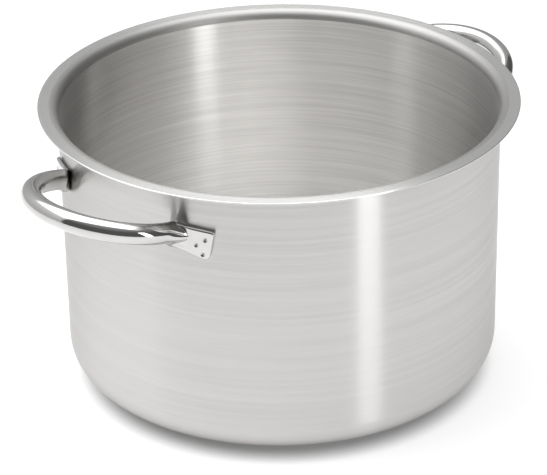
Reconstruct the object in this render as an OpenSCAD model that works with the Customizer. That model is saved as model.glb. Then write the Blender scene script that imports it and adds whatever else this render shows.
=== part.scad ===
// Stock pot: a deep-drawn pot with a flared pouring lip, a sandwich base and two loop handles.
// Each handle is one bent tube whose flattened ends are spot-welded to the wall.
// Millimetres, Z up. The pot stands on z = 0, its axis is the Z axis, and the handles point
// along +X (right) and -X (left). Front is -Y.

/* [Pot body] */
// Inside diameter of the pot
pot_d = 280; // [260:1:320]
// Depth inside, from the top of the lip to the floor of the pot
pot_depth = 181.5; // [175:0.5:220]
// Thickness of the drawn sheet
sheet_t = 1; // [0.8:0.1:1.2]
// Outside radius of the corner between the wall and the bottom
corner_r = 20; // [12:1:22]
// How far the lip stands out beyond the wall
lip_w = 12.3; // [10:0.1:15]
// Radius of the turn from the wall into the lip, on its upper side
lip_r = 6; // [3:0.5:7]

/* [Sandwich base] */
// Diameter of the aluminium core
core_d = 236; // [200:1:238]
// Thickness of the aluminium core
core_t = 5.2; // [3:0.1:7]
// Thickness of the steel cap that covers the core
cap_t = 0.8; // [0.5:0.1:1]
// Outside radius of the cap's lower edge
cap_edge_r = 3; // [2:0.5:3.5]

/* [Handle loop] */
// Outside diameter of the tube
tube_d = 13; // [12:0.5:14]
// Wall thickness of the tube
tube_t = 1.5; // [1.2:0.1:1.5]
// Reach of the tube's axis beyond the pot wall, along the tilted plane of the loop
reach = 47; // [44:1:52]
// Radius of the tube's axis along the grip
grip_r = 54; // [50:1:60]
// Radius of the tube's axis round the shoulders
shoulder_r = 43; // [38:1:46]
// Half of the angle that the grip arc spans
grip_half = 45; // [35:1:55]
// Direction in which the shoulders end and the legs run to the wall
leg_angle = 84; // [80:1:88]
// Upward tilt of the loop
tilt = 14; // [8:1:20]
// Height at which the plane of the loop meets the wall, above the bottom of the pot body
loop_h = 154; // [145:0.5:156]

/* [Handle plates] */
// Angle round the pot from the middle of the handle to the tips of its plates
plate_end = 30.4; // [29:0.1:33]
// Height of a plate where the tube turns into it
plate_root_h = 16.2; // [15:0.1:18]
// Height of a plate at its tip
plate_tip_h = 20; // [18:0.1:20.5]
// Fall of a plate towards its tip, in degrees
plate_fall = 10.5; // [0:0.5:14]
// How far the plate's middle lies below the leg's axis where they meet
plate_drop = 1.5; // [0:0.1:3]
// Radius of the two corners at a plate's tip
plate_corner_r = 3.5; // [2:0.5:5]

/* [Spot welds] */
// Radius of a weld
weld_r = 1.4; // [1:0.1:2]
// Distance from the plate's tip to the outer two welds
weld_back = 4.8; // [4.5:0.1:7]
// Further distance to the inner weld
weld_step = 4.9; // [4:0.1:6]
// Distance of the outer two welds above and below the inner one
weld_spread = 5; // [4:0.1:6]
// How far the group of welds lies below the plate's middle
weld_low = 1.5; // [0:0.1:2]
// Depth of the dimple over a weld
weld_dimple = 0.5; // [0.2:0.1:0.8]
// Depth to which a weld enters the pot wall
weld_root = 0.5; // [0.2:0.1:0.6]

/* [Hidden] */
$fn = 96;
satin_steel = [0.80, 0.80, 0.79];
polished_steel = [0.88, 0.88, 0.88];
aluminium = [0.74, 0.75, 0.76];
weld_grey = [0.45, 0.45, 0.46];
// Gap left between pieces that are bonded or seated in each other
seat_gap = 0.02;
// Gap between a plate and the wall that it is welded to
plate_gap = 0.1;
// Gap that stays inside the flattened tube
fold_gap = 0.15;
// Distance that the cutter for a weld runs out beyond the plate
cutter_over = 10;
base_h = core_t + cap_t;
wall_r = pot_d / 2 + sheet_t;
floor_z = base_h;
lip_z = floor_z + sheet_t + pot_depth;
lip_edge_r = wall_r + lip_w;
plate_t = 2 * tube_t + fold_gap;
plate_r = wall_r + plate_gap + plate_t / 2;
loop_z = floor_z + loop_h;

// Handle tube. It is swept along its axis, from the middle of the grip to the tip of a plate,
// and mirrored. A ring is [middle, width across the loop's plane, thickness in it].
tube_sides = 20;
grip_steps = 5;
shoulder_steps = 6;
leg_steps = 3;
bend_steps = 9;
plate_steps = 3;
tip_steps = 4;
// Lengths of leg and of plate that the bend between them takes up, and the fraction of each
// along which the bend leaves them
bend_in = 7;
bend_out = 6;
bend_pull = 0.7;
// Stretch of the axis over which the tube is pressed flat, measured from the foot of the leg
press_start = -11;
press_end = 4;
// Stretches over which the tube spreads to the plate's root height and then to its tip height
spread_start = -4;
spread_end = 9;
widen_end = 20;

function unit(v) = v / norm(v);
function smooth(x) = let (c = min(1, max(0, x))) c * c * (3 - 2 * c);
function ramp(x, low, high) = (x - low) / (high - low);
function arc_deg(length) = length / plate_r * 180 / PI;

// A point of the loop's plane: across is along the wall, out is away from it
function loop_point(across, out) =
    [wall_r + out * cos(tilt), across, loop_z + out * sin(tilt)];
function grip_point(a) =
    loop_point(grip_r * sin(a), reach - grip_r + grip_r * cos(a));
shoulder_across = (grip_r - shoulder_r) * sin(grip_half);
shoulder_out = reach - grip_r + (grip_r - shoulder_r) * cos(grip_half);
function shoulder_point(a) =
    loop_point(shoulder_across + shoulder_r * sin(a), shoulder_out + shoulder_r * cos(a));

// The leg runs straight from the shoulder to its foot, where its axis meets the plate's
leg_top = shoulder_point(leg_angle);
leg_dir = [-sin(leg_angle) * cos(tilt), cos(leg_angle), -sin(leg_angle) * sin(tilt)];
leg_top_flat = [leg_top.x, leg_top.y];
leg_dir_flat = [leg_dir.x, leg_dir.y];
leg_a = leg_dir_flat * leg_dir_flat;
leg_b = 2 * leg_top_flat * leg_dir_flat;
leg_c = leg_top_flat * leg_top_flat - plate_r * plate_r;
leg_length = (-leg_b - sqrt(leg_b * leg_b - 4 * leg_a * leg_c)) / (2 * leg_a);
function leg_point(from_foot) = leg_top + (leg_length - from_foot) * leg_dir;
foot = leg_point(0);
foot_angle = atan2(foot.y, foot.x);

// The plate follows the wall. Its points are measured from the foot, along the plate's middle.
function plate_point(along) =
    let (a = foot_angle + arc_deg(along * cos(plate_fall)))
    [plate_r * cos(a), plate_r * sin(a), foot.z - plate_drop - along * sin(plate_fall)];
plate_length = (plate_end - foot_angle) / arc_deg(1) / cos(plate_fall);
tip_start = plate_length - plate_corner_r;
bend_from = leg_point(bend_in);
bend_to = plate_point(bend_out);
bend_to_dir = unit(plate_point(bend_out + 1) - bend_to);
function bend_point(u) =
    pow(1 - u, 3) * bend_from
    + 3 * pow(1 - u, 2) * u * (bend_from + leg_dir * bend_in * bend_pull)
    + 3 * (1 - u) * u * u * (bend_to - bend_to_dir * bend_out * bend_pull)
    + pow(u, 3) * bend_to;

// Width and thickness of the tube at a distance from the foot of the leg
function tube_width(from_foot) =
    tube_d
    + (plate_root_h - tube_d) * smooth(ramp(from_foot, spread_start, spread_end))
    + (plate_tip_h - plate_root_h) * min(1, max(0, ramp(from_foot, 0, widen_end)));
function tube_thickness(from_foot) =
    tube_d - (tube_d - plate_t) * smooth(ramp(from_foot, press_start, press_end));
function ring(middle, from_foot, trim = 0) =
    [middle, tube_width(from_foot) - 2 * trim, tube_thickness(from_foot)];

half_rings = [
    for (i = [0:grip_steps]) ring(grip_point(grip_half * i / grip_steps), press_start),
    for (i = [1:shoulder_steps])
        ring(shoulder_point(grip_half + (leg_angle - grip_half) * i / shoulder_steps), press_start),
    for (i = [1:leg_steps - 1])
        let (left = leg_length + (bend_in - leg_length) * i / leg_steps) ring(leg_point(left), -left),
    for (i = [0:bend_steps - 1])
        let (u = i / bend_steps) ring(bend_point(u), -bend_in + u * (bend_in + bend_out)),
    for (i = [0:plate_steps])
        let (along = bend_out + (tip_start - bend_out) * i / plate_steps)
        ring(plate_point(along), along),
    for (i = [1:tip_steps])
        let (a = 90 * i / tip_steps, along = tip_start + plate_corner_r * sin(a))
        ring(plate_point(along), along, plate_corner_r * (1 - cos(a)))
];
last_ring = len(half_rings) - 1;
leg_ring = grip_steps + shoulder_steps;
plate_ring = leg_ring + leg_steps + bend_steps;

// Direction of the axis at a ring, and the direction of its width, which turns upright in the bend
function axis_dir(i) =
    i == 0 ? [0, 1, 0] :
    unit(half_rings[min(i + 1, last_ring)][0] - half_rings[i - 1][0]);
function width_dir(i) =
    let (upright = smooth(ramp(i, leg_ring, plate_ring)),
         lean = [-sin(tilt) * (1 - upright), 0, cos(tilt) * (1 - upright) + upright],
         t = axis_dir(i))
    unit(lean - (lean * t) * t);

// Outline of a ring: two half circles, joined by straight sides where the tube is pressed flat
function ring_points(i, inset) =
    let (r = half_rings[i],
         up = width_dir(i),
         out = cross(axis_dir(i), up),
         round_r = r[2] / 2 - inset,
         straight = (r[1] - r[2]) / 2)
    [for (k = [0:tube_sides - 1])
        let (a = 360 * (k + 0.5) / tube_sides)
        r[0] + up * (sign(cos(a)) * straight + round_r * cos(a)) + out * round_r * sin(a)];
function mirrored(points) = [for (p = points) [p.x, -p.y, p.z]];
function tube_rings(inset) = concat(
    [for (i = [last_ring:-1:1]) mirrored(ring_points(i, inset))],
    [for (i = [0:last_ring]) ring_points(i, inset)]);

module tube() {
    rings = concat(tube_rings(0), tube_rings(tube_t));
    count = 2 * last_ring + 1;
    function at(r, k) = r * tube_sides + k % tube_sides;
    outside = [for (r = [0:count - 2]) for (k = [0:tube_sides - 1])
        each [[at(r, k), at(r + 1, k), at(r + 1, k + 1)], [at(r, k), at(r + 1, k + 1), at(r, k + 1)]]];
    inside = [for (r = [count:2 * count - 2]) for (k = [0:tube_sides - 1])
        each [[at(r, k), at(r + 1, k + 1), at(r + 1, k)], [at(r, k), at(r, k + 1), at(r + 1, k + 1)]]];
    near_end = [for (k = [0:tube_sides - 1])
        each [[at(0, k), at(0, k + 1), at(count, k + 1)], [at(0, k), at(count, k + 1), at(count, k)]]];
    far_end = [for (k = [0:tube_sides - 1])
        each [[at(count - 1, k), at(2 * count - 1, k + 1), at(count - 1, k + 1)],
              [at(count - 1, k), at(2 * count - 1, k), at(2 * count - 1, k + 1)]]];
    polyhedron(
        points = [for (r = rings) each r],
        faces = concat(outside, inside, near_end, far_end),
        convexity = 8);
}

// Spot welds. A weld is [distance back from the plate's tip, distance above its middle].
weld_spots = [
    [weld_back, weld_spread - weld_low],
    [weld_back, -weld_spread - weld_low],
    [weld_back + weld_step, -weld_low]
];
tip_z = plate_point(plate_length).z;
weld_inner_r = wall_r - weld_root;
weld_outer_r = plate_r + plate_t / 2 - weld_dimple / 2;

// Sets its children at the welds of the right handle's rear (1) or front (-1) plate.
// Their Z axis points outwards from the pot's axis.
module at_welds(end) {
    for (w = weld_spots) {
        back = arc_deg(w[0] * cos(plate_fall) - w[1] * sin(plate_fall));
        height = tip_z + w[0] * sin(plate_fall) + w[1] * cos(plate_fall);
        rotate([0, 0, end * (plate_end - back)])
            translate([0, 0, height])
                rotate([0, 90, 0])
                    children();
    }
}

module weld() {
    dish_r = (weld_r * weld_r + weld_dimple * weld_dimple / 4) / weld_dimple;
    difference() {
        translate([0, 0, weld_inner_r])
            cylinder(r = weld_r, h = weld_outer_r - weld_inner_r);
        translate([0, 0, weld_outer_r - weld_dimple / 2 + dish_r])
            sphere(r = dish_r);
    }
}

// Hole for a weld, from the pot wall out through the plate
module weld_seat() {
    translate([0, 0, weld_inner_r - seat_gap])
        cylinder(r = weld_r + seat_gap, h = weld_outer_r - weld_inner_r + cutter_over);
}

module pot_profile() {
    corner_x = wall_r - corner_r;
    corner_y = floor_z + corner_r;
    turn_x = wall_r - sheet_t + lip_r;
    turn_y = lip_z - lip_r;
    translate([0, floor_z])
        square([corner_x, sheet_t]);
    intersection() {
        translate([corner_x, corner_y])
            difference() {
                circle(r = corner_r);
                circle(r = corner_r - sheet_t);
            }
        translate([corner_x, floor_z])
            square([corner_r, corner_r]);
    }
    translate([wall_r - sheet_t, corner_y])
        square([sheet_t, turn_y - corner_y]);
    intersection() {
        translate([turn_x, turn_y])
            difference() {
                circle(r = lip_r);
                circle(r = lip_r - sheet_t);
            }
        translate([turn_x - lip_r, turn_y])
            square([lip_r, lip_r]);
    }
    translate([turn_x, lip_z - sheet_t])
        square([lip_edge_r - sheet_t / 2 - turn_x, sheet_t]);
    translate([lip_edge_r - sheet_t / 2, lip_z - sheet_t / 2])
        circle(d = sheet_t);
}

// Half section of a round plate whose lower edge is rounded
module disc_profile(r, h, edge_r) {
    translate([0, edge_r])
        square([r, h - edge_r]);
    square([r - edge_r, edge_r]);
    intersection() {
        translate([r - edge_r, edge_r])
            circle(r = edge_r);
        translate([r - edge_r, 0])
            square([edge_r, edge_r]);
    }
}

module pot_body() {
    color(satin_steel)
        difference() {
            rotate_extrude()
                pot_profile();
            for (side = [0, 180])
                for (end = [-1, 1])
                    rotate([0, 0, side])
                        at_welds(end)
                            weld_seat();
        }
}

module base_core() {
    color(aluminium)
        translate([0, 0, cap_t])
            rotate_extrude()
                disc_profile(core_d / 2, core_t, cap_edge_r - cap_t);
}

module base_cap() {
    color(satin_steel)
        rotate_extrude()
            difference() {
                disc_profile(core_d / 2 + seat_gap + cap_t, base_h, cap_edge_r);
                translate([0, cap_t - seat_gap])
                    disc_profile(core_d / 2 + seat_gap, base_h, cap_edge_r - cap_t);
            }
}

module handle() {
    color(polished_steel)
        difference() {
            tube();
            for (end = [-1, 1])
                at_welds(end)
                    weld_seat();
        }
}

module welds(end) {
    color(weld_grey)
        at_welds(end)
            weld();
}

module right_handle() {
    handle();
}

module left_handle() {
    rotate([0, 0, 180])
        handle();
}

module right_rear_welds() {
    welds(1);
}

module right_front_welds() {
    welds(-1);
}

module left_rear_welds() {
    rotate([0, 0, 180])
        welds(-1);
}

module left_front_welds() {
    rotate([0, 0, 180])
        welds(1);
}

pot_body();
base_core();
base_cap();
left_handle();
right_handle();
left_front_welds();
left_rear_welds();
right_front_welds();
right_rear_welds();
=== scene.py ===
"""Looks of the stock pot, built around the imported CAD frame.

Metres, +Z up, handles along X, front -Y.
"""

import math

import bmesh
import bpy
import numpy as np
from mathutils import Matrix, Vector


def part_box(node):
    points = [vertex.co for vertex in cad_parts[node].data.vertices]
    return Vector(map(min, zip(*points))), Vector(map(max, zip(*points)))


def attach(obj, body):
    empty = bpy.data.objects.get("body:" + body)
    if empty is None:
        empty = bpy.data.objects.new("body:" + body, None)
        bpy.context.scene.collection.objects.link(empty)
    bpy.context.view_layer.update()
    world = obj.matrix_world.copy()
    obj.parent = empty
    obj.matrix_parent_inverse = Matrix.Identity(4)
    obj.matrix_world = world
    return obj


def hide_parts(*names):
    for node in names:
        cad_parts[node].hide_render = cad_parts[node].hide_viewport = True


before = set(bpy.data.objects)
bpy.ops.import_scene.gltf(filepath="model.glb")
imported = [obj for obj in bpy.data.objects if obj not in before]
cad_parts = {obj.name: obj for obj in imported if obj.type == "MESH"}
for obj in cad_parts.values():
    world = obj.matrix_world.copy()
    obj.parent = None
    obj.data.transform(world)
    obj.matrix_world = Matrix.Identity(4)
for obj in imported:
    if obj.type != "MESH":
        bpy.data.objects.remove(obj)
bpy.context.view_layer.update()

MM = 0.001

# Spun profiles: sides of each ring, and how close two points are when they count as one
SPIN_SIDES = 360
SAME_POINT = 1e-7

# Pot body. Its height and its lip come from the frame.
BODY_LOW, BODY_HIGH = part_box("pot_body")
BODY_Z = BODY_LOW.z
LIP_Z = BODY_HIGH.z
LIP_R = BODY_HIGH.x
WALL_R = 141 * MM
SHEET = 1 * MM
CORNER_R = 20 * MM
LIP_TURN_R = 6 * MM
LIP_FALL = 0.1 * MM

# Sandwich base, under the body
CAP_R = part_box("base_cap")[1].x
CAP_EDGE_R = 3 * MM

# Handle: a tube swept along arcs in a tilted plane, bent at its feet and pressed flat on the wall
TUBE_D = 13 * MM
REACH = 47 * MM
GRIP_R = 54 * MM
SHOULDER_R = 43 * MM
GRIP_HALF = math.radians(45)
LEG_ANGLE = math.radians(84)
TILT = math.radians(14)
LOOP_Z = BODY_Z + 154 * MM
PLATE_END = math.radians(30.4)
PLATE_ROOT_H = 16.2 * MM
PLATE_TIP_H = 20 * MM
PLATE_FALL = math.radians(10.5)
PLATE_DROP = 1.5 * MM
PLATE_CORNER_R = 3.5 * MM
PLATE_UPPER_CORNER_R = 1.4 * MM
PLATE_T = 3.15 * MM
PLATE_GAP = 0.1 * MM
PLATE_R = WALL_R + PLATE_GAP + PLATE_T / 2

# So far from the plate's tip that its round corners take nothing off
FAR_FROM_TIP = PLATE_CORNER_R

# Where the tube spreads and is pressed, as distances past its foot
SPREAD_START = -10 * MM
SPREAD_END = -1 * MM
WIDEN_END = 20 * MM
INNER_PRESS_START = -8 * MM
INNER_PRESS_END = 2 * MM
LOWER_PRESS_START = -14 * MM
LOWER_PRESS_END = 0

# The fold between leg and plate: the heights in the section between which the pressed lower half
# becomes the round upper half, the lean and swell of the tube before the fold, and the length of the
# bend on each side of it, which is sharp above and soft below. Values without MM are shares.
FOLD_LOW = -7 * MM
FOLD_HIGH = -1.5 * MM
FOLD_START = -12 * MM
FOLD_LEAN = 0.45
FOLD_LEAN_FADE = 0.6
FOLD_SWELL = 0.2
FOLD_SHARP = 0.4 * MM
FOLD_SOFT = 7 * MM
FOLD_SOFT_FROM = -0.1
FOLD_SOFT_BEHIND = 0.3
FOLD_BEHIND_FULL = 0.5
SETTLE = 8 * MM
LEG_PAST = 9 * MM
PLATE_BEFORE = 12 * MM

# Steps of the handle's mesh
LINE_STEP = 0.15 * MM
GRIP_STEPS = 36
SHOULDER_STEPS = 24
LEG_STEPS = 40
BEND_STEPS = 40
PLATE_STEPS = 60
TIP_STEPS = 10
TUBE_SIDES = 128
MERGE_DISTANCE = 0.02 * MM
SHORTEST_EDGE = 0.01 * MM
CREASE_ANGLE = math.radians(40)

# Spot welds: distance back from the plate's tip and distance above its middle
WELD_R = 1.4 * MM
WELD_DEPTH = 0.55 * MM
WELD_RECESS = 0.02 * MM
WELD_CIRCLES = 6
WELD_SIDES = 28
DIMPLE_R = 1.1 * WELD_R
DIMPLE_DEPTH = 1.15 * WELD_DEPTH
DIMPLE_SKIN = 0.4 * MM
WELD_SPOTS = [(4.8 * MM, 3.5 * MM), (4.8 * MM, -6.5 * MM), (9.7 * MM, -1.5 * MM)]

# Camera: its azimuth is from the X axis, and its pan and tilt from the line to the body's underside
CAMERA_AZIMUTH = math.radians(227)
CAMERA_ELEVATION = math.radians(29.96)
CAMERA_DISTANCE = 1.674
CAMERA_PAN = math.radians(-0.173)
CAMERA_TILT = math.radians(2.446)
CAMERA_ROLL = math.radians(-0.884)
CAMERA_LENS = 164.4

# Roof of the studio tent: radiance of its lane and of the parts beside the lane
ROOF_LANE = 2.95
ROOF_LEFT = 2.75
ROOF_RIGHT = 1.5
LANE_HALF = math.sin(math.radians(26))
LANE_SOFT = 0.04

# Where the roof ends: the elevation of its edge in front, behind, at the left, at the right and in
# the corner behind at the right, whose bearing is from the camera's towards its right
ROOF_FRONT = math.radians(72)
ROOF_BACK = math.radians(43)
ROOF_LEFT_EDGE = math.radians(45)
ROOF_RIGHT_EDGE = math.radians(58)
ROOF_CORNER_BEARING = math.radians(112)
ROOF_CORNER_EDGE = math.radians(62)
ROOF_SOFT = 0.12

# Walls of the tent: radiance low down and high up, and the elevations in degrees between which it
# rises. The dark front lies between two bearings in degrees, from the camera's towards its right.
FRONT_LEFT = -64
FRONT_RIGHT = 150
FRONT_SOFT = 3
FRONT_LOW = 0.12
FRONT_HIGH = 0.34
FRONT_RISE = (25, 60)
LEFT_LOW = 0.62
LEFT_HIGH = 0.9
BACK_LOW = 0.38
BACK_HIGH = 0.5
GREY_RISE = (0, 45)

# How far to the left the left wall's grey is full, as a cosine
LEFT_FULL = 0.7

# What the camera itself sees beyond the floor
SEEN_WHITE = 1.2

# Studio floor: its size, and its glow beside the pot, far from it and right beside its base.
# The glow is painted light, since the floor is no lamp, and the weak glow right beside the base is a
# painted contact shadow.
FLOOR_R = 1.25
FLOOR_SIDES = 128
GLOW_LEFT = 0.69
GLOW_IN_RIGHT_SHADOW = 0.57
GLOW_FAR = 0.45
GLOW_IN_CONTACT_SHADOW = 0.15

# Where the glow changes: from left to right, starting a little left of the pot's middle, as a cosine,
# and with the distance past the base's edge or from the pot's axis. The weaker glow at the right is a
# painted shadow of the pot.
GLOW_TURN = -0.1
CONTACT_START = 2 * MM
CONTACT_END = 24 * MM
FALL_START = 40 * MM
FALL_END_R = 0.7

# Strip light: its bearing is from the camera's towards its right
STRIP_BEARING = math.radians(41.2)
STRIP_DISTANCE = 1.3
STRIP_WIDTH = 0.25
STRIP_HEIGHT = 0.95
STRIP_LOW = 0.02
STRIP_RADIANCE = 4.2

# Brush marks on satin steel: scales round the pot and across its profile, and how they show
HAIRLINE_SCALES = (8, 640)
BAND_SCALES = (3, 180)
SCRATCH_SCALES = (6, 400)
SCRATCH_RANGE = (0.58, 0.72)
SCRATCH_SHARE = 0.35
CLOUD_SCALE = 14
CLOUD_SHARE = 0.15
TONE_RANGE = (0.34, 0.66)
ROUGH_VARIATION = 0.02
HAIRLINE_HEIGHT = 0.02 * MM
TANGENT_TURN = 0.25

# Every noise: how rough it is, and the middle of its range, which most of its values are in
NOISE_ROUGHNESS = 0.6
NOISE_RANGE = (0.3, 0.7)


def smooth(x):
    x = min(1.0, max(0.0, x))
    return x * x * (3 - 2 * x)


def ramp(x, low, high):
    return (x - low) / (high - low)


def unit(vector):
    return vector / np.linalg.norm(vector)


# ---------------------------------------------------------------- materials

def new_material(name):
    material = bpy.data.materials.new(name)
    material.use_nodes = True
    shader = material.node_tree.nodes["Principled BSDF"]
    return material, material.node_tree, shader


def math_node(tree, operation, a, b=0.0):
    node = tree.nodes.new("ShaderNodeMath")
    node.operation = operation
    for socket, value in zip(node.inputs, (a, b)):
        if isinstance(value, bpy.types.NodeSocket):
            tree.links.new(value, socket)
        else:
            socket.default_value = value
    return node.outputs[0]


def vector_node(tree, operation, vector, other=(0, 0, 0)):
    node = tree.nodes.new("ShaderNodeVectorMath")
    node.operation = operation
    tree.links.new(vector, node.inputs[0])
    node.inputs[1].default_value = other
    return node.outputs["Value"]


def map_range(tree, value, low, high, to_low, to_high, smoothed=False):
    node = tree.nodes.new("ShaderNodeMapRange")
    if smoothed:
        node.interpolation_type = "SMOOTHSTEP"
    tree.links.new(value, node.inputs["Value"])
    limits = {"From Min": low, "From Max": high, "To Min": to_low, "To Max": to_high}
    for name, number in limits.items():
        node.inputs[name].default_value = number
    return node.outputs[0]


def blend(tree, share, low, high):
    """Low where the share is 0 and high where it is 1."""
    rest = math_node(tree, "MULTIPLY", math_node(tree, "SUBTRACT", 1.0, share), low)
    return math_node(tree, "ADD", math_node(tree, "MULTIPLY", share, high), rest)


def noise(tree, vector, scale, detail=3):
    node = tree.nodes.new("ShaderNodeTexNoise")
    node.inputs["Scale"].default_value = scale
    node.inputs["Detail"].default_value = detail
    node.inputs["Roughness"].default_value = NOISE_ROUGHNESS
    tree.links.new(vector, node.inputs["Vector"])
    return node.outputs["Fac"]


def object_position(tree):
    return tree.nodes.new("ShaderNodeTexCoord").outputs["Object"]


def ring_position(tree, around, across):
    """Coordinates that run slowly round the pot's axis and fast across its profile."""
    split = tree.nodes.new("ShaderNodeSeparateXYZ")
    tree.links.new(object_position(tree), split.inputs[0])
    x, y, z = split.outputs
    x_square = math_node(tree, "MULTIPLY", x, x)
    y_square = math_node(tree, "MULTIPLY", y, y)
    squares = math_node(tree, "ADD", x_square, y_square)
    profile = math_node(tree, "ADD", math_node(tree, "SQRT", squares), z)
    join = tree.nodes.new("ShaderNodeCombineXYZ")
    for socket, value, scale in zip(join.inputs, (x, y, profile), (around, around, across)):
        tree.links.new(math_node(tree, "MULTIPLY", value, scale), socket)
    return join.outputs[0]


def ring_noise(tree, scales, fine, detail):
    """Noise drawn out round the pot's axis, for brush marks."""
    around, across = scales
    return noise(tree, ring_position(tree, around, across * fine), 1, detail)


def varied(tree, value, low, high):
    """Spreads the middle of a noise's range over two values."""
    return map_range(tree, value, *NOISE_RANGE, low, high)


def grey_ramp(tree, value, dark, light):
    node = tree.nodes.new("ShaderNodeMix")
    node.data_type = "RGBA"
    tree.links.new(value, node.inputs["Factor"])
    node.inputs[6].default_value = (*dark, 1)
    node.inputs[7].default_value = (*light, 1)
    return node.outputs[2]


def bump(tree, shader, height, strength, distance):
    node = tree.nodes.new("ShaderNodeBump")
    node.inputs["Strength"].default_value = strength
    node.inputs["Distance"].default_value = distance
    tree.links.new(height, node.inputs["Height"])
    tree.links.new(node.outputs[0], shader.inputs["Normal"])


def new_metal(name):
    material, tree, shader = new_material(name)
    shader.inputs["Metallic"].default_value = 1
    return material, tree, shader


def brushed_steel(name, dark, light, rough, anisotropy, streak, bump_strength, edge=1.0, fine=1.0):
    """Satin steel brushed round the pot's axis: sharp sideways and wide across the brush marks.

    Streak is the share of the hairlines in the marks, edge is the reflectivity at grazing angles
    and fine is how much closer together the marks lie.
    """
    material, tree, shader = new_metal(name)
    shader.inputs["Anisotropic"].default_value = anisotropy
    shader.inputs["Anisotropic Rotation"].default_value = TANGENT_TURN
    shader.inputs["Specular Tint"].default_value = (edge, edge, edge, 1)
    tangent = tree.nodes.new("ShaderNodeTangent")
    tangent.direction_type = "RADIAL"
    tangent.axis = "Z"
    tree.links.new(tangent.outputs[0], shader.inputs["Tangent"])
    hairlines = ring_noise(tree, HAIRLINE_SCALES, fine, detail=2)
    bands = ring_noise(tree, BAND_SCALES, fine, detail=2)
    scratches = ring_noise(tree, SCRATCH_SCALES, fine, detail=1)
    scratches = map_range(tree, scratches, *SCRATCH_RANGE, 0, 1)
    clouds = noise(tree, object_position(tree), CLOUD_SCALE, detail=2)
    marks = math_node(tree, "ADD", math_node(tree, "MULTIPLY", hairlines, streak),
                      math_node(tree, "MULTIPLY", bands, 1 - streak))
    tone = map_range(tree, blend(tree, CLOUD_SHARE, marks, clouds), *TONE_RANGE, 0, 1)
    tone = math_node(tree, "ADD", tone, math_node(tree, "MULTIPLY", scratches, SCRATCH_SHARE))
    tree.links.new(grey_ramp(tree, tone, dark, light), shader.inputs["Base Color"])
    roughness = varied(tree, bands, rough - ROUGH_VARIATION, rough + ROUGH_VARIATION)
    tree.links.new(roughness, shader.inputs["Roughness"])
    bump(tree, shader, hairlines, bump_strength, HAIRLINE_HEIGHT)
    return material


def polished_steel():
    material, tree, shader = new_metal("polished_steel")
    spots = varied(tree, noise(tree, object_position(tree), scale=60), 0, 1)
    colour = grey_ramp(tree, spots, dark=(0.585, 0.58, 0.57), light=(0.63, 0.625, 0.615))
    tree.links.new(colour, shader.inputs["Base Color"])
    grain = noise(tree, object_position(tree), scale=900)
    tree.links.new(varied(tree, grain, low=0.01, high=0.03), shader.inputs["Roughness"])
    waves = noise(tree, object_position(tree), scale=120, detail=2)
    bump(tree, shader, waves, strength=0.16, distance=0.1 * MM)
    return material


def weld_steel():
    material, tree, shader = new_metal("weld_steel")
    spots = noise(tree, object_position(tree), scale=1500)
    tone = varied(tree, spots, 0, 1)
    colour = grey_ramp(tree, tone, dark=(0.13, 0.125, 0.12), light=(0.34, 0.33, 0.32))
    tree.links.new(colour, shader.inputs["Base Color"])
    tree.links.new(varied(tree, spots, low=0.35, high=0.55), shader.inputs["Roughness"])
    bump(tree, shader, spots, strength=0.4, distance=0.05 * MM)
    return material


def aluminium():
    material, tree, shader = new_metal("core_aluminium")
    lines = noise(tree, ring_position(tree, around=9, across=900), scale=1)
    colour = grey_ramp(tree, lines, dark=(0.66, 0.67, 0.68), light=(0.78, 0.79, 0.80))
    tree.links.new(colour, shader.inputs["Base Color"])
    tree.links.new(varied(tree, lines, low=0.3, high=0.4), shader.inputs["Roughness"])
    bump(tree, shader, lines, strength=0.2, distance=0.05 * MM)
    return material


def floor_material():
    """A pale floor whose glow, painted light, makes up for the light that the pot keeps off it.

    The glow is weak right beside the base, which leaves a painted contact shadow, and weaker at the
    pot's right, a painted shadow there.
    """
    material, tree, shader = new_material("studio_floor")
    shader.inputs["Roughness"].default_value = 1
    shader.inputs["Specular IOR Level"].default_value = 0
    shader.inputs["Emission Color"].default_value = (1, 1, 1, 1)
    away = vector_node(tree, "LENGTH", object_position(tree))
    right = (-math.sin(CAMERA_AZIMUTH), math.cos(CAMERA_AZIMUTH), 0)
    rightwards = vector_node(tree, "DOT_PRODUCT", object_position(tree), right)
    side = math_node(tree, "DIVIDE", rightwards, away)
    # Painted contact shadow: the glow is weak right beside the base.
    rise = map_range(tree, away, CAP_R + CONTACT_START, CAP_R + CONTACT_END, GLOW_IN_CONTACT_SHADOW, 1, True)
    # Painted shadow: the glow is weaker at the pot's right than at its left.
    near = map_range(tree, side, GLOW_TURN, 1, GLOW_LEFT, GLOW_IN_RIGHT_SHADOW)
    far = map_range(tree, away, CAP_R + FALL_START, FALL_END_R, 0, 1)
    glow = math_node(tree, "MULTIPLY", rise, blend(tree, far, near, GLOW_FAR))
    tree.links.new(glow, shader.inputs["Emission Strength"])
    tint = noise(tree, object_position(tree), scale=3, detail=2)
    colour = grey_ramp(tree, tint, dark=(0.54, 0.54, 0.54), light=(0.57, 0.57, 0.57))
    tree.links.new(colour, shader.inputs["Base Color"])
    return material


# ---------------------------------------------------------------- meshes

def new_piece(name, vertices, faces, materials, nodes):
    """A smooth mesh that rides on the pot and stands for the CAD nodes."""
    mesh = bpy.data.meshes.new(name)
    mesh.from_pydata([tuple(v) for v in vertices], [], faces)
    mesh.polygons.foreach_set("use_smooth", [True] * len(mesh.polygons))
    mesh.validate()
    for material in materials:
        mesh.materials.append(material)
    piece = bpy.data.objects.new(name, mesh)
    bpy.context.scene.collection.objects.link(piece)
    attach(piece, "root")
    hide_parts(*nodes)
    return piece


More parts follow.
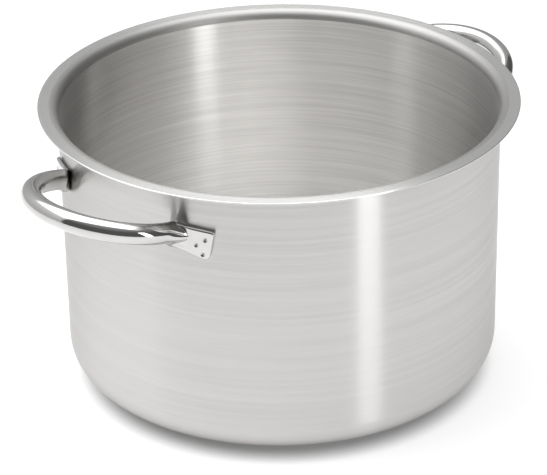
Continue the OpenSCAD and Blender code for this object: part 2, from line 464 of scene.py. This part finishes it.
def arc(r, z, radius, start, end, steps):
    """Points of a profile arc with their normals, from a start to an end angle in degrees."""
    points = []
    for i in range(steps + 1):
        a = math.radians(start + (end - start) * i / steps)
        points.append((r + radius * math.cos(a), z + radius * math.sin(a), math.cos(a), math.sin(a)))
    return points


def line(r0, z0, r1, z1, steps):
    """Points of a straight profile stretch with its normal, on the right of its direction."""
    length = math.hypot(r1 - r0, z1 - z0)
    normal = ((z1 - z0) / length, (r0 - r1) / length)
    points = []
    for i in range(steps + 1):
        points.append((r0 + (r1 - r0) * i / steps, z0 + (z1 - z0) * i / steps, *normal))
    return points


def spun(name, stretches, materials, nodes):
    """Spins a profile from the axis to the axis. A stretch is points with normals and a material."""
    rings, kinds = [], []
    for points, kind in stretches:
        for point in points:
            if rings and math.dist(point[:2], rings[-1][:2]) < SAME_POINT:
                continue
            if rings:
                kinds.append(kind)
            rings.append(point)
    vertices, normals, first = [], [], []
    for r, z, nr, nz in rings:
        first.append(len(vertices))
        count = 1 if r < SAME_POINT else SPIN_SIDES
        for k in range(count):
            a = 2 * math.pi * k / SPIN_SIDES
            vertices.append((r * math.cos(a), r * math.sin(a), z))
            normals.append((nr * math.cos(a), nr * math.sin(a), nz))
    faces, indices = [], []
    for i, kind in enumerate(kinds):
        low, high = first[i], first[i + 1]
        low_pole = rings[i][0] < SAME_POINT
        high_pole = rings[i + 1][0] < SAME_POINT
        for k in range(SPIN_SIDES):
            j = (k + 1) % SPIN_SIDES
            if low_pole:
                faces.append((low, high + j, high + k))
            elif high_pole:
                faces.append((low + k, low + j, high))
            else:
                faces.append((low + k, low + j, high + j, high + k))
            indices.append(kind)
    piece = new_piece(name, vertices, faces, materials, nodes)
    piece.data.polygons.foreach_set("material_index", indices)
    piece.data.normals_split_custom_set_from_vertices(normals)


def flipped(points):
    """The same points with their normals turned round."""
    return [(r, z, -nr, -nz) for r, z, nr, nz in points]


def pot_steels():
    """The shell's materials: outside, inside, lip, the turn from lip to wall, and bottom inside.

    They are lit and shaded copies of one steel. The inside, the bottom inside and the lip are painted
    far lighter than the outside, as painted light and highlight. The turn is painted darker to dim its
    highlight, as painted shade. The outside's low grazing reflectivity (edge) darkens the wall towards
    its sides, as painted shade.
    """
    return [
        # Painted shade: edge=0.74 lowers the grazing reflectivity, which darkens the wall towards its
        # sides.
        brushed_steel(
            "satin_outside", dark=(0.593, 0.584, 0.575), light=(0.616, 0.607, 0.597),
            rough=0.25, anisotropy=1.0, streak=0.85, bump_strength=0.03, edge=0.74, fine=2.0,
        ),
        # Painted light: the inside is painted much lighter than the outside of the same steel.
        brushed_steel(
            "satin_inside", dark=(0.80, 0.791, 0.777), light=(0.955, 0.945, 0.93),
            rough=0.33, anisotropy=1.0, streak=0.85, bump_strength=0.04,
        ),
        # Painted highlight: the lip is painted much lighter than the outside of the same steel.
        brushed_steel(
            "satin_lip", dark=(0.85, 0.846, 0.834), light=(0.92, 0.916, 0.903),
            rough=0.24, anisotropy=0.9, streak=0.6, bump_strength=0.03, edge=0.8,
        ),
        # Painted shade: the turn is painted darker than the lip and inside to dim its highlight.
        brushed_steel(
            "satin_turn", dark=(0.46, 0.456, 0.45), light=(0.52, 0.516, 0.509),
            rough=0.48, anisotropy=0.6, streak=0.6, bump_strength=0.03, edge=0.85,
        ),
        # Painted light: the bottom inside is painted much lighter than the outside of the same steel.
        brushed_steel(
            "satin_floor", dark=(0.84, 0.832, 0.82), light=(0.95, 0.942, 0.93),
            rough=0.50, anisotropy=0.4, streak=0.8, bump_strength=0.04,
        ),
    ]


def build_pot():
    outside, inside, lip, turn, bottom = range(5)
    corner_r, corner_z = WALL_R - CORNER_R, BODY_Z + CORNER_R
    turn_r, turn_z = WALL_R - SHEET + LIP_TURN_R, LIP_Z - LIP_TURN_R
    edge_r = LIP_R - SHEET / 2
    inner_r, floor_z = WALL_R - SHEET, BODY_Z + SHEET
    lip_under = LIP_Z - SHEET
    edge_z = LIP_Z - SHEET / 2 - LIP_FALL
    stretches = [
        (line(0, BODY_Z, corner_r, BODY_Z, steps=12), outside),
        (arc(corner_r, corner_z, CORNER_R, -90, 0, steps=24), outside),
        (line(WALL_R, corner_z, WALL_R, turn_z, steps=30), outside),
        (flipped(arc(turn_r, turn_z, LIP_TURN_R - SHEET, 180, 90, steps=12)), outside),
        (line(turn_r, lip_under, edge_r, lip_under - LIP_FALL, steps=5), lip),
        (arc(edge_r, edge_z, SHEET / 2, -90, 90, steps=8), lip),
        (line(edge_r, LIP_Z - LIP_FALL, turn_r, LIP_Z, steps=8), lip),
        (arc(turn_r, turn_z, LIP_TURN_R, 90, 180, steps=16), turn),
        (line(inner_r, turn_z, inner_r, corner_z, steps=30), inside),
        (flipped(arc(corner_r, corner_z, CORNER_R - SHEET, 0, -90, steps=24)), bottom),
        (line(corner_r, floor_z, 0, floor_z, steps=24), bottom),
    ]
    spun("pot_shell", stretches, pot_steels(), ["pot_body"])


def build_base_cap():
    satin = brushed_steel(
        "satin_base", dark=(0.58, 0.577, 0.57), light=(0.64, 0.637, 0.63),
        rough=0.34, anisotropy=0.9, streak=0.5, bump_strength=0.05,
    )
    stretches = [
        (line(0, 0, CAP_R - CAP_EDGE_R, 0, steps=24), 0),
        (arc(CAP_R - CAP_EDGE_R, CAP_EDGE_R, CAP_EDGE_R, -90, 0, steps=10), 0),
        (line(CAP_R, CAP_EDGE_R, CAP_R, BODY_Z, steps=3), 0),
        (line(CAP_R, BODY_Z, 0, BODY_Z, steps=2), 0),
    ]
    spun("base_plate", stretches, [satin], ["base_cap"])


class HandleAxis:
    """The right handle's tube axis, from the middle of its grip to the tip of its rear plate."""

    def __init__(self):
        self.shoulder_across = (GRIP_R - SHOULDER_R) * math.sin(GRIP_HALF)
        self.shoulder_out = REACH - GRIP_R + (GRIP_R - SHOULDER_R) * math.cos(GRIP_HALF)
        self.leg_top = self.shoulder(LEG_ANGLE)
        self.leg_dir = self.direction(LEG_ANGLE)
        a = self.leg_dir[:2] @ self.leg_dir[:2]
        b = 2 * self.leg_top[:2] @ self.leg_dir[:2]
        c = self.leg_top[:2] @ self.leg_top[:2] - PLATE_R ** 2
        self.leg_length = (-b - math.sqrt(b * b - 4 * a * c)) / (2 * a)
        self.foot = self.leg_top + self.leg_length * self.leg_dir
        self.foot_angle = math.atan2(self.foot[1], self.foot[0])
        self.plate_length = (PLATE_END - self.foot_angle) * PLATE_R / math.cos(PLATE_FALL)

    def loop(self, across, out):
        return np.array([WALL_R + out * math.cos(TILT), across, LOOP_Z + out * math.sin(TILT)])

    def direction(self, a):
        """Direction of the tube where it has turned by an angle from the middle of the grip."""
        inwards = -math.sin(a)
        return np.array([inwards * math.cos(TILT), math.cos(a), inwards * math.sin(TILT)])

    def grip(self, a):
        return self.loop(GRIP_R * math.sin(a), REACH - GRIP_R + GRIP_R * math.cos(a))

    def shoulder(self, a):
        return self.loop(
            self.shoulder_across + SHOULDER_R * math.sin(a),
            self.shoulder_out + SHOULDER_R * math.cos(a),
        )

    def plate(self, along):
        a = self.foot_angle + along * math.cos(PLATE_FALL) / PLATE_R
        z = self.foot[2] - along * math.sin(PLATE_FALL)
        return np.array([PLATE_R * math.cos(a), PLATE_R * math.sin(a), z])

    def leg(self, past):
        return self.foot + self.leg_dir * past


def tube_width(past):
    root = (PLATE_ROOT_H - TUBE_D) * smooth(ramp(past, SPREAD_START, SPREAD_END))
    tip = (PLATE_TIP_H - PLATE_ROOT_H) * min(1, max(0, ramp(past, 0, WIDEN_END)))
    return TUBE_D + root + tip


def tube_depth(past, start, end):
    """Half the thickness of the tube on one side, pressed between two distances past the foot."""
    return TUBE_D / 2 - (TUBE_D - PLATE_T) / 2 * smooth(ramp(past, start, end))


def rim(up, width, depth):
    """How far out a flattened section with round edges reaches at a height."""
    over = max(0, abs(up) - width / 2 + depth)
    return math.sqrt(max(0, depth * depth - over * over))


def corner(left, radius):
    """How much a round corner takes off the plate's height at a distance from the tip."""
    inside = min(max(left, 0), radius)
    return radius - math.sqrt(radius * radius - (radius - inside) ** 2)


def section(past, left, on_plate):
    """Section round the tube's centre, from the middle of its outer face, as (up, out).

    The lower half is pressed little by little. The upper half stays round on the leg and is flat on
    the plate, and the two meet in a fold.
    """
    spread = smooth(ramp(past, SPREAD_START, SPREAD_END))
    middle = -PLATE_DROP * spread
    top = middle + tube_width(past) / 2 - corner(left, PLATE_UPPER_CORNER_R)
    bottom = middle - tube_width(past) / 2 + corner(left, PLATE_CORNER_R)
    middle, half = (top + bottom) / 2, (top - bottom) / 2
    lower = tube_depth(past, LOWER_PRESS_START, LOWER_PRESS_END)
    upper = PLATE_T / 2 if on_plate else TUBE_D / 2
    inner = PLATE_T / 2 if on_plate else tube_depth(past, INNER_PRESS_START, INNER_PRESS_END)
    folding = smooth(ramp(past, FOLD_START, 0))
    swell = 0 if on_plate else FOLD_SWELL * folding
    points = []
    for k in range(TUBE_SIDES):
        a = 2 * math.pi * k / TUBE_SIDES
        up = middle + half * math.sin(a)
        end = top if up > 0 else bottom
        bulge = math.sqrt(max(0, 1 - (up / end) ** 2))
        reach = rim(up - middle, 2 * half, PLATE_T / 2)
        back = 0
        if not on_plate:
            fade = smooth(ramp(math.cos(a), -FOLD_LEAN_FADE, 0))
            back = FOLD_LEAN * folding * max(0, up) * fade
        if math.cos(a) < 0:
            points.append((up, -max(reach, bulge * inner) - back))
        else:
            outer = lower + (upper - lower) * smooth(ramp(up, FOLD_LOW, FOLD_HIGH))
            points.append((up, max(reach, bulge * outer) * (1 + swell) - back))
    return points


def ring(middle, along, turned, points):
    """Places a section across the tube. It leans with the grip, or stands upright once it is turned."""
    lean = np.array([-math.sin(TILT) * (1 - turned), 0, math.cos(TILT) * (1 - turned) + turned])
    up = unit(lean - (lean @ along) * along)
    out = np.cross(along, up)
    return np.array([middle + up * a + out * b for a, b in points])


def grip_rings(axis):
    """Rings from the middle of the grip to the top of the leg."""
    turn = LEG_ANGLE - GRIP_HALF
    places = []
    for i in range(GRIP_STEPS):
        places.append((axis.grip, GRIP_HALF * i / GRIP_STEPS))
    for i in range(SHOULDER_STEPS):
        places.append((axis.shoulder, GRIP_HALF + turn * i / SHOULDER_STEPS))
    round_tube = section(-axis.leg_length, FAR_FROM_TIP, False)
    return [ring(place(a), axis.direction(a), 0, round_tube) for place, a in places]


def leg_lines(axis):
    """Lines along the leg, carried on through the wall: distances past the foot and their points."""
    steps = np.arange(-axis.leg_length, LEG_PAST, LINE_STEP)
    rings = []
    for past in steps:
        turned = smooth(ramp(past, -axis.leg_length, 0))
        points = section(past, FAR_FROM_TIP, False)
        rings.append(ring(axis.leg(past), axis.leg_dir, turned, points))
    return steps, np.array(rings)


def plate_lines(axis):
    """Lines along the plate, from before the foot to the tip, in the same form."""
    tip_start = axis.plate_length - PLATE_CORNER_R
    turns = np.linspace(0, math.pi / 2, TIP_STEPS + 1)
    tip = tip_start + PLATE_CORNER_R * np.sin(turns)
    steps = np.append(np.arange(-PLATE_BEFORE, tip_start - LINE_STEP / 2, LINE_STEP), tip)
    rings = []
    for past in steps:
        along = unit(axis.plate(past + LINE_STEP) - axis.plate(past))
        left = tip_start + PLATE_CORNER_R - past
        rings.append(ring(axis.plate(past), along, 1, section(past, left, True)))
    return steps, np.array(rings)


def point_at(points, steps, where):
    """Points of a line at some distances along it, between its own points."""
    return np.stack([np.interp(where, steps, points[:, c]) for c in range(3)], axis=-1)


def fold_softness(k):
    """Length of the bend on each side of the fold: soft below and at the wall, sharp above."""
    a = 2 * math.pi * k / TUBE_SIDES
    below = smooth(ramp(-math.sin(a), FOLD_SOFT_FROM, 1))
    behind = FOLD_SOFT_BEHIND * smooth(ramp(-math.cos(a), 0, FOLD_BEHIND_FULL))
    return FOLD_SHARP + (FOLD_SOFT - FOLD_SHARP) * max(below, behind)


def fold_distances(axis, leg_steps, leg_points, plate_steps, plate_points):
    """Where a line of the leg meets the plate's surface: its distances along the leg and the plate."""
    angles = np.arctan2(leg_points[:, 1], leg_points[:, 0])
    along = (angles - axis.foot_angle) * PLATE_R / math.cos(PLATE_FALL)
    surface = np.interp(along, plate_steps, np.hypot(plate_points[:, 0], plate_points[:, 1]))
    above = np.hypot(leg_points[:, 0], leg_points[:, 1]) - surface
    hit = np.flatnonzero(above <= 0)[0]
    share = above[hit - 1] / (above[hit - 1] - above[hit])
    past = leg_steps[hit - 1] + share * LINE_STEP
    return past, np.interp(past, leg_steps, along)


def folded_line(axis, k, leg, plate):
    """One line along the tube: down the leg to the plate, round the bend and on along the plate."""
    leg_steps, leg_points = leg[0], leg[1][:, k]
    plate_steps, plate_points = plate[0], plate[1][:, k]
    past, reached = fold_distances(axis, leg_steps, leg_points, plate_steps, plate_points)
    fold = point_at(leg_points, leg_steps, past)
    shift = fold - point_at(plate_points, plate_steps, reached)
    soft = fold_softness(k)

    def settled(where):
        """Points on the plate, shifted to meet the leg's line at the fold."""
        fade = 1 - np.array([smooth((w - reached) / SETTLE) for w in where])
        return point_at(plate_points, plate_steps, where) + fade[:, None] * shift

    start = point_at(leg_points, leg_steps, past - soft)
    end = settled([reached + soft])[0]
    u = np.linspace(0, 1, BEND_STEPS, endpoint=False)[:, None]
    bend = (1 - u) ** 2 * start + 2 * (1 - u) * u * fold + u * u * end
    down = np.linspace(-axis.leg_length, past - soft, LEG_STEPS, endpoint=False)
    tip = plate_steps[-(TIP_STEPS + 1):]
    on = np.linspace(reached + soft, tip[0], PLATE_STEPS, endpoint=False)
    return np.concatenate([point_at(leg_points, leg_steps, down), bend, settled(on), settled(tip)])


def tube_rings(axis):
    """All rings from the middle of the grip to the tip of the rear plate."""
    leg = leg_lines(axis)
    plate = plate_lines(axis)
    lines = np.stack([folded_line(axis, k, leg, plate) for k in range(TUBE_SIDES)], axis=1)
    return grip_rings(axis) + list(lines)


def weld_centres(axis):
    """Centres of the spot welds on the plate's outer face, as (angle round the pot, height)."""
    middle = axis.plate(axis.plate_length)[2] - PLATE_DROP
    sine, cosine = math.sin(PLATE_FALL), math.cos(PLATE_FALL)
    found = []
    for back, above in WELD_SPOTS:
        angle = PLATE_END - (back * cosine - above * sine) / PLATE_R
        found.append((angle, middle + back * sine + above * cosine))
    return found


def press_welds(points, centres):
    """Pushes the plate's outer face in at each weld."""
    outer = PLATE_R + PLATE_T / 2
    radius = np.hypot(points[:, 0], points[:, 1])
    angle = np.arctan2(points[:, 1], points[:, 0])
    for weld_angle, weld_z in centres:
        away = np.hypot((angle - weld_angle) * outer, points[:, 2] - weld_z)
        near = (away < DIMPLE_R) & (radius > outer - DIMPLE_SKIN)
        share = np.clip(away / DIMPLE_R, 0, 1)
        depth = DIMPLE_DEPTH * (1 - share ** 2) ** 1.5
        scale = np.where(near, (radius - depth) / radius, 1)
        points[:, 0] *= scale
        points[:, 1] *= scale
    return points


def handle_mesh(axis):
    """The right handle's tube: its rear half and the mirror image of that, closed at both tips."""
    centres = weld_centres(axis)
    half = [press_welds(points, centres) for points in tube_rings(axis)]
    mirror = np.array([1, -1, 1])
    rings = [points * mirror for points in reversed(half[1:])] + half
    vertices = np.concatenate(rings)
    n = TUBE_SIDES
    faces = []
    for r in range(len(rings) - 1):
        for k in range(n):
            j = (k + 1) % n
            faces.append((r * n + k, r * n + j, (r + 1) * n + j, (r + 1) * n + k))
    faces.append(tuple(range(n - 1, -1, -1)))
    last = (len(rings) - 1) * n
    faces.append(tuple(last + k for k in range(n)))
    return vertices, faces


def merge_close_points(mesh):
    """Merges points that all but touch and drops the faces that this leaves without area."""
    shape = bmesh.new()
    shape.from_mesh(mesh)
    bmesh.ops.remove_doubles(shape, verts=shape.verts, dist=MERGE_DISTANCE)
    bmesh.ops.dissolve_degenerate(shape, edges=shape.edges, dist=SHORTEST_EDGE)
    shape.to_mesh(mesh)
    shape.free()


def weld_mesh(axis, rear):
    """Three dished discs that fill the dimples of one plate."""
    outer = PLATE_R + PLATE_T / 2
    vertices, faces = [], []
    for angle, z in weld_centres(axis):
        a = angle if rear else -angle
        out = np.array([math.cos(a), math.sin(a), 0])
        side = np.array([-math.sin(a), math.cos(a), 0])
        up = np.array([0, 0, 1.0])
        base = len(vertices)
        for c in range(WELD_CIRCLES + 1):
            share = c / WELD_CIRCLES
            dish = outer - WELD_DEPTH * (1 - share ** 2) - WELD_RECESS
            count = 1 if c == 0 else WELD_SIDES
            for k in range(count):
                t = 2 * math.pi * k / WELD_SIDES
                away = WELD_R * share * (side * math.cos(t) + up * math.sin(t))
                vertices.append(out * dish + up * z + away)
        for k in range(WELD_SIDES):
            j = (k + 1) % WELD_SIDES
            faces.append((base, base + 1 + k, base + 1 + j))
            for c in range(WELD_CIRCLES - 1):
                low = base + 1 + c * WELD_SIDES
                high = low + WELD_SIDES
                faces.append((low + k, high + k, high + j, low + j))
    return np.array(vertices), faces


def build_handles():
    axis = HandleAxis()
    polished, weld = polished_steel(), weld_steel()
    vertices, faces = handle_mesh(axis)
    for side, turn in (("right", (1, 1, 1)), ("left", (-1, -1, 1))):
        tube_name, handle = f"{side}_handle_tube", f"{side}_handle"
        tube = new_piece(tube_name, vertices * turn, faces, [polished], [handle])
        merge_close_points(tube.data)
        tube.data.set_sharp_from_angle(angle=CREASE_ANGLE)
        for rear in (True, False):
            spots, weld_faces = weld_mesh(axis, rear)
            end = "rear" if rear == (side == "right") else "front"
            spots_name, node = f"{side}_{end}_weld_spots", f"{side}_{end}_welds"
            new_piece(spots_name, spots * turn, weld_faces, [weld], [node])


def build_base_core():
    """The CAD disc sealed inside the base keeps its shape and gets a material."""
    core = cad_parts["base_core"]
    core.data.materials.clear()
    core.data.materials.append(aluminium())


# ---------------------------------------------------------------- studio

def build_floor():
    angles = [2 * math.pi * k / FLOOR_SIDES for k in range(FLOOR_SIDES)]
    vertices = [(FLOOR_R * math.cos(a), FLOOR_R * math.sin(a), 0) for a in angles]
    mesh = bpy.data.meshes.new("studio_floor")
    mesh.from_pydata(vertices, [], [tuple(range(FLOOR_SIDES))])
    mesh.materials.append(floor_material())
    floor = bpy.data.objects.new("studio_floor", mesh)
    bpy.context.scene.collection.objects.link(floor)


def window(tree, value, low, high, soft):
    """1 where the value is between low and high, with soft edges."""
    opens = map_range(tree, value, low - soft, low + soft, 0, 1, True)
    closes = map_range(tree, value, high - soft, high + soft, 1, 0, True)
    return math_node(tree, "MULTIPLY", opens, closes)


def above_slope(tree, upwards, outwards, slope):
    """Sine of the angle by which a direction is above a plane that rises outwards at a slope."""
    return math_node(tree, "SUBTRACT", math_node(tree, "MULTIPLY", upwards, math.cos(slope)),
                     math_node(tree, "MULTIPLY", outwards, math.sin(slope)))


def room_directions(tree):
    """How far each direction goes towards the camera, to its right and up."""
    direction = tree.nodes.new("ShaderNodeTexCoord").outputs["Generated"]
    turn = tree.nodes.new("ShaderNodeVectorRotate")
    turn.rotation_type = "Z_AXIS"
    turn.inputs["Angle"].default_value = -CAMERA_AZIMUTH
    tree.links.new(direction, turn.inputs["Vector"])
    split = tree.nodes.new("ShaderNodeSeparateXYZ")
    tree.links.new(turn.outputs[0], split.inputs[0])
    return split.outputs


def roof_share(tree, towards, rightwards, upwards):
    """1 on the roof and 0 on the walls. The roof ends where it meets the first of five slopes."""
    corner_right = math_node(tree, "MULTIPLY", rightwards, math.sin(ROOF_CORNER_BEARING))
    corner_towards = math_node(tree, "MULTIPLY", towards, math.cos(ROOF_CORNER_BEARING))
    edges = (
        (towards, ROOF_FRONT),
        (math_node(tree, "MULTIPLY", towards, -1), ROOF_BACK),
        (math_node(tree, "MULTIPLY", rightwards, -1), ROOF_LEFT_EDGE),
        (rightwards, ROOF_RIGHT_EDGE),
        (math_node(tree, "ADD", corner_right, corner_towards), ROOF_CORNER_EDGE),
    )
    over_all = 1.0
    for outwards, slope in edges:
        over_all = math_node(tree, "MINIMUM", above_slope(tree, upwards, outwards, slope), over_all)
    return map_range(tree, over_all, -ROOF_SOFT, ROOF_SOFT, 0, 1, True)


def roof_light(tree, rightwards):
    """White, and brightest in a lane over the camera's line of sight."""
    lane = window(tree, rightwards, -LANE_HALF, LANE_HALF, LANE_SOFT)
    beside = map_range(tree, rightwards, -LANE_HALF, LANE_HALF, ROOF_LEFT, ROOF_RIGHT)
    return blend(tree, lane, beside, ROOF_LANE)


def wall_light(tree, towards, rightwards, upwards):
    """Dark in front and at the right, grey at the left and behind."""
    bearing = math_node(tree, "DEGREES", math_node(tree, "ARCTAN2", rightwards, towards))
    elevation = math_node(tree, "DEGREES", math_node(tree, "ARCSINE", upwards))
    front = window(tree, bearing, FRONT_LEFT, FRONT_RIGHT, FRONT_SOFT)
    dark = map_range(tree, elevation, *FRONT_RISE, FRONT_LOW, FRONT_HIGH, True)
    left = map_range(tree, elevation, *GREY_RISE, LEFT_LOW, LEFT_HIGH, True)
    back = map_range(tree, elevation, *GREY_RISE, BACK_LOW, BACK_HIGH, True)
    grey = blend(tree, map_range(tree, rightwards, -LEFT_FULL, 0, 1, 0), back, left)
    return blend(tree, front, grey, dark)


def build_world():
    """A tent with a white roof over grey walls. The camera sees plain white beyond the floor."""
    world = bpy.data.worlds.new("studio")
    bpy.context.scene.world = world
    world.use_nodes = True
    tree = world.node_tree
    towards, rightwards, upwards = room_directions(tree)
    canopy = roof_share(tree, towards, rightwards, upwards)
    walls = wall_light(tree, towards, rightwards, upwards)
    lit = blend(tree, canopy, walls, roof_light(tree, rightwards))
    seen = tree.nodes.new("ShaderNodeLightPath").outputs["Is Camera Ray"]
    background = tree.nodes["Background"]
    tree.links.new(blend(tree, seen, lit, SEEN_WHITE), background.inputs["Color"])


def build_strip_light():
    """A tall strip light that stands at the camera's right and faces the pot."""
    azimuth = CAMERA_AZIMUTH + STRIP_BEARING
    data = bpy.data.lights.new("strip_light", "AREA")
    data.shape = "RECTANGLE"
    data.size, data.size_y = STRIP_WIDTH, STRIP_HEIGHT
    data.energy = STRIP_RADIANCE * math.pi * STRIP_WIDTH * STRIP_HEIGHT
    light = bpy.data.objects.new("strip_light", data)
    bpy.context.scene.collection.objects.link(light)
    place = Vector((math.cos(azimuth), math.sin(azimuth), 0))
    light.location = place * STRIP_DISTANCE + Vector((0, 0, STRIP_LOW + STRIP_HEIGHT / 2))
    light.rotation_mode = "QUATERNION"
    light.rotation_quaternion = (-place).to_track_quat("-Z", "Y")
    light.visible_camera = False


def build_camera():
    back = Vector((
        math.cos(CAMERA_AZIMUTH) * math.cos(CAMERA_ELEVATION),
        math.sin(CAMERA_AZIMUTH) * math.cos(CAMERA_ELEVATION),
        math.sin(CAMERA_ELEVATION),
    ))
    right = Vector((0, 0, 1)).cross(back).normalized()
    up = back.cross(right)
    forward = (right * math.tan(CAMERA_PAN) + up * math.tan(CAMERA_TILT) - back).normalized()
    right = forward.cross(up).normalized()
    up = right.cross(forward)
    axes = Matrix((right, up, -forward)).transposed() @ Matrix.Rotation(CAMERA_ROLL, 3, "Z")
    data = bpy.data.cameras.new("camera")
    data.lens = CAMERA_LENS
    camera = bpy.data.objects.new("camera", data)
    bpy.context.scene.collection.objects.link(camera)
    place = Vector((0, 0, BODY_Z)) + back * CAMERA_DISTANCE
    camera.matrix_world = Matrix.Translation(place) @ axes.to_4x4()
    bpy.context.scene.camera = camera


bpy.context.scene.view_settings.view_transform = "Standard"
build_camera()
build_world()
build_strip_light()
build_floor()
build_pot()
build_base_cap()
build_handles()
build_base_core()
